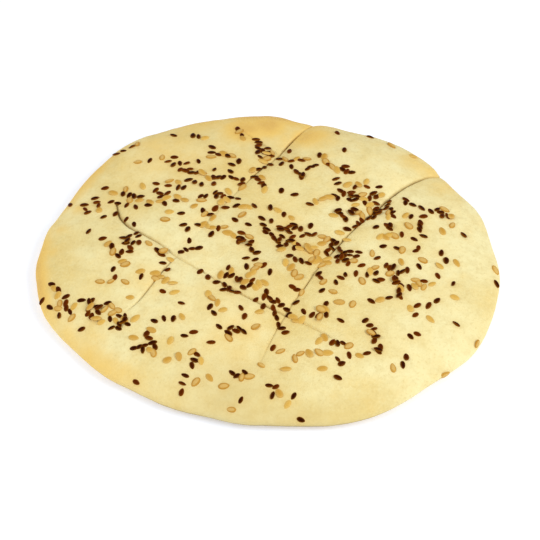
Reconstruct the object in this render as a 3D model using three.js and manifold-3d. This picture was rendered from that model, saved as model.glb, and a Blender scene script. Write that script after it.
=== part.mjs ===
// A flaxseed flatbread: one low oval loaf of pale dough with a rounded rim, scored into
// portions before baking and strewn with brown and golden flax seeds that have baked fast
// to its crust. Lengths are in millimetres and +Z is up. The loaf rests on the plane z = 0
// with its middle over the origin, and its long way runs along X.

import * as THREE from "three";
import { mergeVertices } from "three/addons/utils/BufferGeometryUtils.js";
import Module from "manifold-3d";

// The loaf as a whole
const LENGTH = 260;
const WIDTH = 230;
const HEIGHT = 24; // crown of the dome
const SHOULDER = 11; // height that the dome would reach at the outline, were the rim square
const WIDEST = 5.5; // height at which the loaf is widest
const RIM_CURVE = 14; // a larger number makes a tighter upper rim
const FOOT_CURVE = 26; // the same for the turn under the rim
const FOOT = 0.86; // share of the outline that lies flat on the table

// The outline is an ellipse that swells out or falls in around some bearings: the bearing
// and the spread in degrees, the reach in millimetres.
const OUTLINE_SWELLS = [
  { bearing: 8, spread: 8, reach: -1.6 },
  { bearing: 27, spread: 8, reach: -3.8 },
  { bearing: 48, spread: 8, reach: -1.6 },
  { bearing: 63, spread: 9, reach: -4.6 },
  { bearing: 80, spread: 5, reach: -2 },
  { bearing: 99, spread: 13, reach: 1.6 },
  { bearing: 129, spread: 9, reach: 2.6 },
  { bearing: 156, spread: 7, reach: -0.7 },
  { bearing: 159, spread: 14, reach: -5.5 },
  { bearing: 169, spread: 4, reach: 1 },
  { bearing: 175, spread: 5, reach: -0.8 },
  { bearing: 188, spread: 6, reach: -1 },
  { bearing: 212, spread: 10, reach: -2.8 },
  { bearing: 232, spread: 13, reach: -4.6 },
  { bearing: 253, spread: 10, reach: -3.2 },
  { bearing: 271, spread: 8, reach: -1 },
  { bearing: 296, spread: 15, reach: 4.5 },
  { bearing: 329, spread: 11, reach: 3.8 },
];

// Where the dough rose more or less than the plain dome.
const CRUST_SWELLS = [
  { x: 62, y: 76, spread: 30, rise: 2.2 },
  { x: -4, y: 104, spread: 18, rise: 1.8 },
  { x: 12, y: 12, spread: 34, rise: -1.6 },
  { x: -50, y: 22, spread: 24, rise: 1 },
  { x: 78, y: -42, spread: 34, rise: 1.2 },
  { x: -38, y: -66, spread: 30, rise: 1 },
];

// Slow waves left by the baker's hands: height, wavelength along X and along Y, and how far
// along its length each wave starts, in turns.
const WAVES = [
  { rise: 0.45, alongX: 94, alongY: 160, start: 0.2 },
  { rise: 0.4, alongX: -130, alongY: 88, start: 0.6 },
  { rise: 0.25, alongX: 62, alongY: 70, start: 0.35 },
];

// The scores. Each point is x, y, the depth of the dip that the dough keeps on both sides
// of the score, and the depth of the knife's own line below that.
const DIP_WIDTH = 6.5; // distance from the score at which a dip has eased off to a third
const CUT_FLARE = 0.3; // half the knife line's width over its depth
const SCORES = [
  [
    [33, 119, 2.6, 0.9], [27, 109, 2.5, 0.6], [21, 100, 2.2, 0.8], [13, 87, 2.6, 2.4],
    [9, 80, 2.5, 1.4], [3, 70, 2.3, 0.7], [-4, 61, 2, 1.6], [-12, 49, 1.3, 0.7],
    [-30, 22, 1.1, 0.4], [-46, 0, 0.9, 0.3], [-56, -15, 1, 1.3], [-64, -28, 0.9, 1.3],
    [-70, -37, 0.8, 1.1], [-76, -44, 0.4, 0.5]
  ],
  [
    [113, 74, 1.8, 1], [101, 69, 2.2, 1], [92, 64, 2.8, 1.8], [82, 55, 3.2, 3.2],
    [73, 45, 3, 2.6], [62, 31, 2.6, 2], [50, 16, 2.2, 1.4], [39, 0, 2, 1.5],
    [28, -17, 1.8, 1.1], [21, -31, 1.6, 1.2], [13, -44, 1.4, 0.7], [6, -58, 1.2, 0.8],
    [0, -72, 0.8, 0.6], [-4, -82, 0.3, 0.3]
  ],
  [
    [-85, 38, 1, 1.6], [-83, 28, 1.9, 2.6], [-77, 18, 2, 2.4], [-69, 11, 1.9, 1.8],
    [-59, 3, 1.8, 1.3], [-49, -7, 1.6, 0.9], [-23, -28, 1.7, 0.9], [-6, -40, 1.8, 1.3],
    [10, -49, 1.4, 1.1], [25, -58, 1, 1], [37, -66, 0.4, 0.6]
  ],
  [
    [-13, 96, 0.6, 0.5], [-3, 86, 1.2, 0.9], [8, 77, 1, 0.5]
  ],
];

// The seeds at their true size, and how they lie
const SEED_LENGTH = 4.8;
const SEED_WIDTH = 2.7;
const SEED_THICKNESS = 1.4;
const SEED_SIZE_SPREAD = 0.2; // from the smallest seed to the largest, as a share
const GOLDEN_SIZE = 1.18; // a golden seed's size over a brown one's
const SEED_SUNK = 0.2; // depth of a seed's middle below the crust
const SEED_ROOM = 2.6; // a seed that falls closer than this to another one rolls off it
const SEED_START = 20261; // first value of the seeded draw

// The seeds fell in trails: x and y where each starts and ends, how far it spreads to the
// sides, and its numbers of brown and of golden seeds. The left of the loaf comes first, then
// the middle and the right.
const TRAILS = [
  [-87, 83, -75, 89, 1, 3, 1], [-53, 73, -74, 71, 1.5, 2, 2], [-56, 68, -44, 66, 1.5, 5, 0],
  [-50, 61, -37, 57, 1, 4, 1], [-43, 93, -36, 90, 0.5, 2, 1], [-54, 95, -32, 81, 0.5, 2, 0],
  [-112, 43, -92, 52, 0.5, 2, 0], [-103, 39, -101, 32, 1, 3, 0], [-97, 44, -95, 33, 1, 3, 1],
  [-92, 27, -100, 16, 0.5, 2, 0], [-82, 45, -71, 41, 1, 4, 0], [-87, 47, -80, 49, 0.5, 0, 2],
  [-63, 51, -71, 50, 0.5, 1, 1], [-89, 40, -74, 33, 1, 4, 0], [-86, 30, -74, 18, 1.5, 3, 0],
  [-78, 39, -60, 35, 1, 0, 4], [-66, 34, -51, 34, 0.5, 3, 0], [-63, 46, -61, 39, 1.5, 4, 0],
  [-56, 48, -47, 44, 1.5, 3, 0], [-55, 52, -50, 50, 0.5, 0, 2], [-57, 38, -47, 35, 1, 0, 3],
  [-45, 51, -37, 47, 0.6, 3, 0], [-55, 26, -57, 20, 0.6, 0, 2], [-48, 23, -44, 4, 2.5, 4, 0],
  [-81, 8, -72, 9, 1.8, 5, 0], [-79, 3, -71, 3, 0.8, 3, 0], [-76, -1, -80, -3, 0.8, 3, 0],
  [-91, 8, -78, -13, 1.5, 3, 4], [-85, -15, -84, -21, 0.5, 2, 0], [-92, -23, -78, -24, 1, 0, 3],
  [-69, -22, -70, -18, 0.5, 1, 1], [-61, -3, -54, -17, 2.5, 4, 0], [-66, 2, -54, -10, 1, 0, 3],
  [-62, -19, -53, -28, 2.5, 0, 6], [-57, -33, -47, -42, 0.5, 2, 0], [-48, -3, -38, -2, 0.8, 4, 0],
  [-119, -20, -111, -30, 0.6, 3, 0], [-124, -29, -114, -41, 0.6, 3, 0],
  [-111, -35, -108, -41, 0.8, 3, 0], [-118, -24, -105, -44, 5, 0, 6],
  [-101, -52, -70, -88, 0.5, 2, 0], [-97, -36, -91, -43, 2, 7, 2], [-97, -43, -94, -48, 0.8, 3, 1],
  [-87, -38, -81, -43, 1.2, 1, 3], [-84, -46, -78, -48, 1, 3, 0], [-89, -50, -71, -50, 1.5, 0, 4],
  [-85, -54, -74, -54, 1.2, 6, 0], [-75, -35, -72, -63, 0.5, 0, 2],
  [-61, -52, -46, -52, 1.5, 3, 1], [-65, -61, -60, -70, 0.8, 4, 0], [-72, -69, -67, -71, 1, 4, 0],
  [-63, -59, -61, -74, 1.5, 0, 3], [-45, -64, -52, -67, 0.5, 1, 1],
  [-53, -79, -41, -75, 0.8, 0, 3], [-32, 76, -20, 72, 1.2, 3, 3], [-39, 68, -30, 60, 0.5, 2, 0],
  [-20, 64, -16, 67, 0.5, 2, 0], [-16, 98, -13, 89, 1.5, 2, 2], [-6, 89, -5, 73, 1, 6, 0],
  [-3, 77, 1, 75, 0.8, 3, 0], [0, 81, 13, 79, 0.5, 2, 0], [3, 78, -3, 67, 1.5, 0, 4],
  [8, 71, 20, 68, 1.5, 3, 3], [8, 66, 14, 63, 0.6, 2, 0], [2, 66, -5, 61, 0.6, 3, 0],
  [-8, 60, -3, 53, 0.8, 0, 2], [27, 64, 23, 61, 0.5, 3, 0], [30, 73, 40, 60, 1.5, 2, 4],
  [18, 59, 20, 52, 1.5, 4, 0], [-7, 54, -1, 42, 1, 4, 1], [8, 42, 15, 39, 0.5, 2, 0],
  [-21, 58, -18, 52, 0.5, 2, 0], [-36, 55, -33, 52, 0.5, 0, 2], [-30, 47, -16, 35, 0.5, 2, 0],
  [-30, 53, -23, 53, 1, 4, 0], [-14, 51, -14, 45, 0.6, 2, 1], [-37, 36, -23, 37, 1.5, 7, 0],
  [-26, 32, -19, 37, 1, 0, 3], [-41, 29, -37, 33, 0.8, 0, 2], [-29, 27, -17, 29, 0.5, 3, 0],
  [-7, 29, -14, 28, 0.6, 1, 2], [-36, 25, -30, 21, 1.5, 2, 2], [-38, 16, -20, 8, 1.5, 2, 6],
  [-18, 18, -14, 22, 0.5, 1, 1], [2, 29, 13, 21, 1, 2, 2], [-3, 20, 2, 18, 0.5, 2, 0],
  [24, 32, 35, 38, 0.8, 1, 3], [41, 25, 37, 23, 0.5, 1, 1], [-31, 8, -10, 14, 0.5, 2, 0],
  [-16, 5, -12, 6, 1, 4, 1], [-14, 3, -6, -7, 1.2, 5, 0], [-2, 15, 9, -4, 1, 7, 1],
  [7, 14, 12, 10, 1.2, 4, 0], [14, 16, 20, 12, 1.8, 5, 0], [9, 7, 11, 1, 1.5, 4, 1],
  [19, 7, 26, 9, 1, 3, 0], [16, 3, 17, -3, 1.2, 4, 1], [20, 1, 28, -7, 2.5, 0, 7],
  [25, -11, 30, -15, 1.2, 0, 3], [27, -1, 33, 4, 1, 0, 3], [38, 4, 32, -7, 1.5, 6, 1],
  [-12, -11, -11, -17, 0.5, 2, 0], [-6, -12, 2, -22, 0.8, 3, 0], [-22, -18, -23, -32, 1.5, 5, 0],
  [-4, -16, -10, -22, 1.2, 0, 4], [-37, -19, -28, -27, 0.5, 3, 0], [-26, -21, -21, -22, 0.8, 0, 2],
  [-17, -25, -14, -27, 0.6, 2, 1], [-13, -30, -8, -27, 0.8, 3, 0], [-7, -31, -2, -29, 0.8, 0, 3],
  [13, -10, 21, -15, 1.2, 4, 0], [10, -16, 17, -25, 1.5, 0, 4], [28, -22, 31, -28, 0.8, 2, 1],
  [14, -32, 19, -35, 0.8, 2, 1], [30, -34, 36, -35, 0.5, 1, 1], [-32, -36, -25, -48, 1.5, 0, 4],
  [-31, -46, -29, -50, 0.5, 2, 0], [-22, -32, -16, -34, 0.6, 3, 0], [0, -35, 2, -40, 1.2, 4, 0],
  [-6, -39, -2, -44, 0.5, 2, 0], [3, -45, 5, -52, 0.8, 3, 0], [5, -41, 12, -47, 1, 4, 0],
  [16, -42, 20, -48, 0.5, 2, 0], [-14, -46, -12, -52, 0.5, 2, 0], [13, -50, 18, -54, 0.8, 0, 3],
  [-4, -48, -6, -58, 0.5, 0, 2], [6, -56, 10, -61, 0.6, 3, 0], [-20, -59, -17, -62, 1, 4, 0],
  [-40, -62, -26, -59, 0.5, 2, 0], [-13, -62, -30, -69, 0.5, 2, 0], [3, -72, 7, -74, 0.5, 1, 1],
  [24, -51, 32, -50, 1, 3, 0], [32, -43, 29, -51, 0.8, 1, 3], [35, -68, 40, -69, 0.6, 3, 0],
  [28, -67, 31, -65, 0.6, 0, 2], [18, -75, 33, -75, 0.6, 0, 4], [15, -79, 10, -85, 0.6, 0, 2],
  [-21, -65, -3, -83, 0.5, 0, 2], [-38, -76, -40, -83, 0.6, 3, 0], [-44, -87, -45, -97, 1.5, 3, 0],
  [-37, -80, -38, -92, 0.5, 0, 2], [-31, -90, -23, -95, 0.5, 0, 2], [-19, -88, -9, -90, 1, 3, 2],
  [2, -95, 5, -99, 1.5, 3, 1], [14, -101, 11, -106, 0.5, 1, 1], [-14, -103, -19, -108, 0.5, 1, 1],
  [40, -54, 18, -113, 0.5, 2, 0], [30, -85, 44, -71, 0.5, 0, 2], [41, 95, 44, 77, 0.5, 2, 0],
  [60, 94, 84, 80, 0.5, 1, 2], [43, 60, 47, 58, 1, 4, 0], [39, 53, 41, 44, 1, 3, 0],
  [43, 41, 40, 37, 0.8, 3, 0], [50, 46, 63, 47, 0.6, 3, 0], [46, 49, 56, 49, 1.2, 0, 3],
  [48, 42, 48, 38, 0.6, 3, 0], [46, 37, 51, 37, 0.8, 3, 0], [54, 41, 50, 33, 1, 0, 3],
  [61, 40, 57, 36, 1, 4, 0], [62, 35, 61, 27, 0.8, 3, 0], [58, 34, 60, 29, 0.8, 0, 2],
  [64, 41, 78, 25, 0.5, 0, 2], [69, 37, 66, 29, 0.8, 4, 0], [70, 30, 71, 24, 0.5, 3, 0],
  [68, 27, 68, 23, 0.5, 0, 2], [49, 29, 47, 26, 0.6, 3, 0], [51, 27, 53, 24, 0.6, 0, 2],
  [57, 24, 63, 27, 0.8, 4, 0], [40, 26, 44, 21, 0.5, 3, 0], [53, 21, 49, 16, 0.6, 3, 0],
  [67, 16, 69, 15, 0.6, 3, 0], [62, 7, 71, 9, 1, 0, 4], [61, 15, 45, 13, 0.5, 2, 0],
  [82, 34, 92, 30, 0.5, 3, 0], [78, 38, 78, 36, 0.5, 2, 0], [96, 32, 98, 28, 1, 4, 0],
  [100, 33, 102, 28, 0.5, 0, 2], [88, 25, 81, 24, 0.5, 2, 0], [86, 20, 85, 14, 0.5, 3, 0],
  [79, 17, 98, 15, 0.5, 0, 2], [104, 21, 105, -8, 0.5, 0, 2], [110, 15, 97, -1, 0.5, 2, 0],
  [41, 10, 44, 5, 0.5, 0, 2], [75, 10, 82, 7, 0.5, 2, 0], [87, 10, 84, 1, 0.5, 2, 0],
  [64, 0, 72, -1, 0.5, 2, 0], [74, -3, 74, -11, 0.5, 0, 2], [82, -2, 99, -7, 0.5, 2, 0],
  [61, -9, 58, -6, 0.5, 1, 1], [86, -8, 95, -11, 0.5, 0, 2], [40, -2, 44, -5, 1.2, 4, 0],
  [39, -8, 49, -8, 1.2, 5, 0], [39, -11, 45, -11, 0.8, 3, 1], [45, -14, 52, -15, 0.5, 2, 0],
  [66, -14, 69, -17, 0.5, 3, 0], [72, -19, 77, -17, 0.5, 3, 0], [84, -13, 94, -19, 0.5, 2, 0],
  [49, -21, 55, -21, 0.5, 2, 0], [60, -20, 60, -25, 0.6, 3, 0], [60, -16, 58, -19, 0.5, 0, 2],
  [52, -26, 68, -20, 0.5, 0, 2], [43, -22, 38, -28, 0.6, 3, 0], [70, -23, 71, -27, 0.8, 4, 0],
  [81, -24, 83, -29, 1.2, 0, 4], [79, -28, 86, -24, 0.5, 2, 0], [91, -25, 74, -30, 0.5, 0, 2],
  [103, -23, 103, -33, 0.5, 1, 1], [73, -32, 72, -36, 0.6, 3, 0], [67, -37, 62, -39, 0.5, 1, 1],
  [57, -40, 75, -75, 0.5, 2, 0], [47, -43, 39, -42, 0.5, 0, 2], [88, -41, 93, -37, 0.5, 2, 0],
  [82, -42, 81, -48, 0.5, 2, 0], [78, -44, 89, -50, 0.5, 0, 2], [103, -51, 114, -60, 0.5, 1, 1],
  [53, -54, 58, -59, 0.5, 3, 0], [58, -63, 58, -67, 0.5, 3, 0], [56, -62, 50, -77, 0.5, 0, 2],
  [61, -71, 59, -75, 0.8, 3, 0], [54, -75, 44, -77, 0.5, 2, 0], [78, -62, 81, -60, 0.5, 2, 0],
  [73, -80, 38, -90, 0.5, 2, 0], [68, -83, 96, -80, 0.5, 0, 2], [38, -79, 40, -82, 0.5, 2, 0],
  [127, -17, 127, -7, 0.3, 1, 1],
];

// Which of them the solid keeps
const SEEDS_KEPT = 190;
const KEPT_APART = 5.2; // from the middle of one to the middle of the next
const KEPT_OFF_SCORES = 2.6;
const KEPT_REACH = 0.94; // share of the outline

// Grid of the crust: rings from the crown to the foot, and sectors round it. A millimetre of
// height counts for more than one outwards, which brings the rings closer round the rim.
const RINGS = 20;
const SECTORS = 68;
const HEIGHT_COUNTS = 4;

const wasm = await Module();
wasm.setup();

const { clamp, euclideanModulo, lerp, radToDeg } = THREE.MathUtils;
const fall = (distance, spread) => Math.exp(-((distance / spread) ** 2));

// Distance from the middle to the outline at a bearing in radians.
function outlineRadius(bearing) {
  const a = LENGTH / 2;
  const b = WIDTH / 2;
  let radius = (a * b) / Math.hypot(b * Math.cos(bearing), a * Math.sin(bearing));
  for (const swell of OUTLINE_SWELLS) {
    const turned = euclideanModulo(radToDeg(bearing) - swell.bearing + 180, 360) - 180;
    radius += swell.reach * fall(turned, swell.spread);
  }
  return radius;
}

// The cross-section as share of the outline and height, for a turn that goes from 0 at the
// crown over a right angle at the widest point to a half turn under the middle.
function profile(turn) {
  if (turn <= Math.PI / 2) {
    const share = Math.sin(turn) ** (2 / RIM_CURVE);
    const dome = HEIGHT - (HEIGHT - SHOULDER) * share ** 2;
    return { share, height: WIDEST + (dome - WIDEST) * Math.cos(turn) };
  }
  const share = Math.sin(turn) ** (2 / FOOT_CURVE);
  return { share, height: WIDEST * (1 + Math.cos(turn)) };
}

// The turns at which the rings lie, spread evenly over the way from the crown to the foot.
function ringTurns() {
  const steps = 600;
  const crowding = 6; // the share of the outline changes fastest close to the crown
  const reach = (LENGTH + WIDTH) / 4;
  const footTurn = Math.PI - Math.asin(FOOT ** (FOOT_CURVE / 2));
  const walked = [{ turn: 0, distance: 0 }];
  let last = profile(0);
  for (let i = 1; i <= steps; i++) {
    const turn = footTurn * (i / steps) ** crowding;
    const next = profile(turn);
    const out = (next.share - last.share) * reach;
    const step = Math.hypot(out, HEIGHT_COUNTS * (next.height - last.height));
    walked.push({ turn, distance: walked[i - 1].distance + step });
    last = next;
  }
  const whole = walked[steps].distance;
  return Array.from({ length: RINGS }, (_, i) => {
    const goal = (whole * (i + 1)) / RINGS;
    return walked.find((point) => point.distance >= goal - 1e-9).turn;
  });
}

// A score's path as points every few millimetres, with the dip and the line's depth.
function walkScore(points) {
  const pointsPerSpan = 2;
  const path = new THREE.CatmullRomCurve3(
    points.map(([x, y]) => new THREE.Vector3(x, y, 0)), false, "catmullrom");
  const depth = new THREE.CatmullRomCurve3(
    points.map(([, , dip, line]) => new THREE.Vector3(dip, line, 0)), false, "catmullrom");
  const count = (points.length - 1) * pointsPerSpan;
  return Array.from({ length: count + 1 }, (_, i) => {
    const place = path.getPoint(i / count);
    const deep = depth.getPoint(i / count);
    return { x: place.x, y: place.y, dip: deep.x, line: deep.y };
  });
}

const scorePaths = SCORES.map(walkScore);

// The nearest point of a score: how far off it is, and the dip there.
function nearest(path, x, y) {
  let best = { distance: Infinity, dip: 0 };
  for (let i = 1; i < path.length; i++) {
    const from = path[i - 1];
    const to = path[i];
    const along = { x: to.x - from.x, y: to.y - from.y };
    const walked = (x - from.x) * along.x + (y - from.y) * along.y;
    const share = clamp(walked / (along.x ** 2 + along.y ** 2), 0, 1);
    const distance = Math.hypot(x - from.x - along.x * share, y - from.y - along.y * share);
    if (distance < best.distance) best = { distance, dip: lerp(from.dip, to.dip, share) };
  }
  return best;
}

// How far the crust stands off the plain dome: swells, dips at the scores, slow waves.
function relief(x, y) {
  let rise = 0;
  for (const wave of WAVES)
    rise += wave.rise * Math.sin(2 * Math.PI * (x / wave.alongX + y / wave.alongY + wave.start));
  for (const swell of CRUST_SWELLS)
    rise += swell.rise * fall(Math.hypot(x - swell.x, y - swell.y), swell.spread);
  for (const path of scorePaths) {
    const { distance, dip } = nearest(path, x, y);
    rise -= dip * Math.exp(-distance / DIP_WIDTH);
  }
  return rise;
}

function plainPoint(turn, bearing) {
  const { share, height } = profile(turn);
  const radius = outlineRadius(bearing) * share;
  return new THREE.Vector3(radius * Math.cos(bearing), radius * Math.sin(bearing), height);
}

// A point of the crust: the plain loaf's point, moved along its normal by the relief, which
// fades out under the rim.
function crustPoint(turn, bearing) {
  const step = 1e-4;
  const place = plainPoint(turn, bearing);
  const down = plainPoint(turn * (1 + step), bearing).sub(plainPoint(turn * (1 - step), bearing));
  const round = plainPoint(turn, bearing + step).sub(plainPoint(turn, bearing - step));
  const normal = down.cross(round).normalize();
  const fade = clamp(2 - turn / (Math.PI / 2), 0, 1) ** 2;
  return place.addScaledVector(normal, relief(place.x, place.y) * fade);
}

function crownPoint() {
  return new THREE.Vector3(0, 0, HEIGHT + relief(0, 0));
}

// The whole crust as a closed grid: crown, rings over the rim to the foot, middle of the foot.
function loafGeometry() {
  const turns = ringTurns();
  const places = [crownPoint()];
  for (const turn of turns)
    for (let s = 0; s < SECTORS; s++) {
      const place = crustPoint(turn, (2 * Math.PI * s) / SECTORS);
      if (turn === turns[RINGS - 1]) place.z = 0;
      places.push(place);
    }
  const footMiddle = places.push(new THREE.Vector3(0, 0, 0)) - 1;
  const at = (ring, sector) => 1 + ring * SECTORS + (sector % SECTORS);
  const faces = [];
  for (let s = 0; s < SECTORS; s++) {
    faces.push(0, at(0, s), at(0, s + 1));
    for (let ring = 1; ring < RINGS; ring++) {
      faces.push(at(ring - 1, s), at(ring, s), at(ring, s + 1));
      faces.push(at(ring - 1, s), at(ring, s + 1), at(ring - 1, s + 1));
    }
    faces.push(at(RINGS - 1, s), footMiddle, at(RINGS - 1, s + 1));
  }
  return new THREE.BufferGeometry().setFromPoints(places).setIndex(faces);
}

// A closed geometry as a solid that can be joined and cut.
function solidOf(geometry) {
  const bare = geometry.clone();
  bare.deleteAttribute("normal");
  bare.deleteAttribute("uv");
  const merged = mergeVertices(bare, 1e-5);
  return new wasm.Manifold(new wasm.Mesh({
    numProp: 3,
    vertProperties: merged.attributes.position.array,
    triVerts: new Uint32Array(merged.index.array),
  }));
}

function geometryOf(solid) {
  const mesh = solid.getMesh();
  return new THREE.BufferGeometry()
    .setAttribute("position", new THREE.BufferAttribute(mesh.vertProperties, mesh.numProp))
    .setIndex(new THREE.BufferAttribute(mesh.triVerts, 1));
}

// Looks straight down on the loaf, to find where something lies on it.
function crustFinder(geometry) {
  const loaf = new THREE.Mesh(geometry);
  const ray = new THREE.Raycaster();
  return (x, y) => {
    ray.set(new THREE.Vector3(x, y, 2 * HEIGHT), new THREE.Vector3(0, 0, -1));
    return ray.intersectObject(loaf)[0];
  };
}

// The knife's line along a score: a narrow wedge with its edge under the crust. Outside
// the rim the edge runs on level, so that the line opens the rim's upper side.
function wedgeGeometry(path, find) {
  const proud = 4; // how far the wedge stands above the crust
  const hits = path.map(({ x, y }) => {
    const inside = Math.hypot(x, y) < 0.96 * outlineRadius(Math.atan2(y, x));
    return inside ? find(x, y) : null;
  });
  const rimHeight = hits.find(Boolean).point.z;
  const places = [];
  path.forEach((point, i) => {
    const before = path[Math.max(i - 1, 0)];
    const after = path[Math.min(i + 1, path.length - 1)];
    const across = new THREE.Vector3(before.y - after.y, after.x - before.x, 0).normalize();
    const height = hits[i] ? hits[i].point.z : rimHeight;
    const edge = new THREE.Vector3(point.x, point.y, height - point.line);
    const top = edge.clone().setZ(height + proud);
    const half = CUT_FLARE * (point.line + proud);
    places.push(edge, top.clone().addScaledVector(across, half), top.addScaledVector(across, -half));
  });
  const last = path.length - 1;
  const faces = [0, 2, 1, 3 * last, 3 * last + 1, 3 * last + 2];
  for (let i = 0; i < last; i++)
    for (const [a, b] of [[0, 1], [1, 2], [2, 0]]) {
      const near = 3 * i;
      const far = near + 3;
      faces.push(near + a, near + b, far + b, near + a, far + b, far + a);
    }
  return new THREE.BufferGeometry().setFromPoints(places).setIndex(faces);
}

// A seeded draw, from 0 to 1.
function makeDraw(start) {
  let state = start;
  return () => {
    state = (state * 48271) % 2147483647;
    return state / 2147483647;
  };
}

// Where the seeds fell, with the turn and the size of each. They lie evenly along their trail
// and are scattered to its sides, and one that falls on another tries again further off.
function strewSeeds() {
  const tries = 5;
  const draw = makeDraw(SEED_START);
  const scatter = (reach) => reach * (draw() + draw() - 1);
  const seeds = [];
  for (const [fromX, fromY, toX, toY, spread, brown, golden] of TRAILS) {
    const count = brown + golden;
    for (let i = 0; i < count; i++) {
      const isGolden = Math.floor(((i + 1) * golden) / count) > Math.floor((i * golden) / count);
      const seed = { turn: 2 * Math.PI * draw(), size: 1 + SEED_SIZE_SPREAD * (draw() - 0.5) };
      if (isGolden) seed.size *= GOLDEN_SIZE;
      for (let attempt = 1; attempt <= tries; attempt++) {
        seed.x = lerp(fromX, toX, i / (count - 1)) + scatter(attempt * spread);
        seed.y = lerp(fromY, toY, i / (count - 1)) + scatter(attempt * spread);
        if (!seeds.some((other) => Math.hypot(other.x - seed.x, other.y - seed.y) < SEED_ROOM)) break;
      }
      seeds.push(seed);
    }
  }
  return seeds;
}

// The largest seeds that lie clear of each other and of the knife's lines.
function pickSeeds(seeds) {
  const kept = [];
  for (const seed of [...seeds].sort((a, b) => b.size - a.size)) {
    if (kept.length === SEEDS_KEPT) break;
    const crowded = kept.some((other) => Math.hypot(other.x - seed.x, other.y - seed.y) < KEPT_APART);
    const onScore = scorePaths.some((path) => nearest(path, seed.x, seed.y).distance < KEPT_OFF_SCORES);
    const reach = KEPT_REACH * outlineRadius(Math.atan2(seed.y, seed.x));
    if (!crowded && !onScore && Math.hypot(seed.x, seed.y) < reach) kept.push(seed);
  }
  return kept;
}

// One flat seed at its true size, pointed at one end.
function seedShape() {
  const shape = new THREE.SphereGeometry(1, 5, 3).rotateX(Math.PI / 2).center();
  const size = shape.boundingBox.getSize(new THREE.Vector3());
  return shape.scale(SEED_LENGTH / size.x, SEED_WIDTH / size.y, SEED_THICKNESS / size.z);
}

// A seed lying on the crust, sunk a little.
function seedGeometry(seed, hit) {
  const lie = new THREE.Quaternion().setFromUnitVectors(new THREE.Vector3(0, 0, 1), hit.face.normal);
  const turn = new THREE.Quaternion().setFromAxisAngle(new THREE.Vector3(0, 0, 1), seed.turn);
  const place = hit.point.clone().addScaledVector(hit.face.normal, -SEED_SUNK);
  const size = new THREE.Vector3().setScalar(seed.size);
  return seedShape().applyMatrix4(new THREE.Matrix4().compose(place, lie.multiply(turn), size));
}

// The loaf, cut along its scores, with the seeds joined to it.
function bakedGeometry() {
  const crust = loafGeometry();
  const find = crustFinder(crust);
  let solid = solidOf(crust);
  for (const path of scorePaths) solid = solid.subtract(solidOf(wedgeGeometry(path, find)));
  for (const seed of pickSeeds(strewSeeds()))
    solid = solid.add(solidOf(seedGeometry(seed, find(seed.x, seed.y))));
  const geometry = geometryOf(solid);
  geometry.computeBoundingBox();
  const middle = geometry.boundingBox.getCenter(new THREE.Vector3());
  return geometry.translate(-middle.x, -middle.y, 0);
}

const crustMaterial = new THREE.MeshStandardMaterial({
  color: new THREE.Color("#ecd69b"),
  roughness: 0.62,
  metalness: 0,
});

const flatbread = new THREE.Mesh(bakedGeometry(), crustMaterial);
flatbread.name = "flatbread";

const part = new THREE.Group();
part.add(flatbread);
export default part;
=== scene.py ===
"""A scored flatbread strewn with brown and golden flax seeds, on a pale studio floor.

The loaf's crust is one surface: a cross-section that runs from the crown over the rim to
the foot, carried round an uneven oval outline, and lifted or lowered along its normal by
the dough's swells, the dips beside the scores and the knife's own lines. The seeds are two
pieces, one for each kind, made of a single lens shape that is laid on the crust again and
again. Lengths are in metres, except where a list says millimetres.
"""

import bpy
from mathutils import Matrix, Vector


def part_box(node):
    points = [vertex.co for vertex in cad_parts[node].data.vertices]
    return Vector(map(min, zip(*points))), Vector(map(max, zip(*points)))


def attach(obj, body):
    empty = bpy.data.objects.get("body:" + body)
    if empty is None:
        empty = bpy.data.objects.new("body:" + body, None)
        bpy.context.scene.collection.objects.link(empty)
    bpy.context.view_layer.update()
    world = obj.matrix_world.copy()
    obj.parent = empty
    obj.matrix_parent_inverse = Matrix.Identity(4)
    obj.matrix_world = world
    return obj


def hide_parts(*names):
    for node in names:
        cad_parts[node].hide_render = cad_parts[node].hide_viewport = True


bl_info = {
    "name": "Flaxseed Flatbread",
    "version": (1, 0, 0),
    "blender": (4, 5, 0),
    "location": "3D View > Sidebar > Flatbread",
    "description": "Builds a scored flatbread with flax seeds and a plain studio round it",
    "category": "Object",
}

import math

import bpy
import numpy as np
from bpy.props import FloatProperty, FloatVectorProperty, IntProperty, PointerProperty
from bpy.types import Operator, Panel, PropertyGroup
from mathutils import Vector

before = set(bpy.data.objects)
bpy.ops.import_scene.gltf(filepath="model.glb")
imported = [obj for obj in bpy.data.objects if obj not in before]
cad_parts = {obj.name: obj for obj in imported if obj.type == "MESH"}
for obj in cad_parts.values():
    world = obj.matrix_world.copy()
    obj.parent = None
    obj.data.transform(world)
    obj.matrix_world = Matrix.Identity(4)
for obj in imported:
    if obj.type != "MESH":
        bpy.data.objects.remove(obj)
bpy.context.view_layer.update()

MM = 0.001

# Form of the cross-section
RIM_CURVE = 14  # a larger number makes a tighter upper rim
FOOT_CURVE = 26  # the same for the turn under the rim
FOOT = 0.86  # share of the outline that lies flat on the table

# Shades along the cross-section, which is at nothing on the crown, at a half where the loaf is
# widest and at one on the table: between which shares of that each comes in or goes.
UNDERSIDE_COMES = (0.62, 0.8)
# The foot's band is painted shade: a dark contact shadow where the rim turns under towards the
# table, painted on the front only, where it is seen.
CONTACT_SHADE_COMES, CONTACT_SHADE_GOES = (0.54, 0.62), (0.68, 0.8)
CONTACT_SHADE_FRONT = (262, 42)  # bearing and spread in degrees of the front, where the foot is seen

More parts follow.
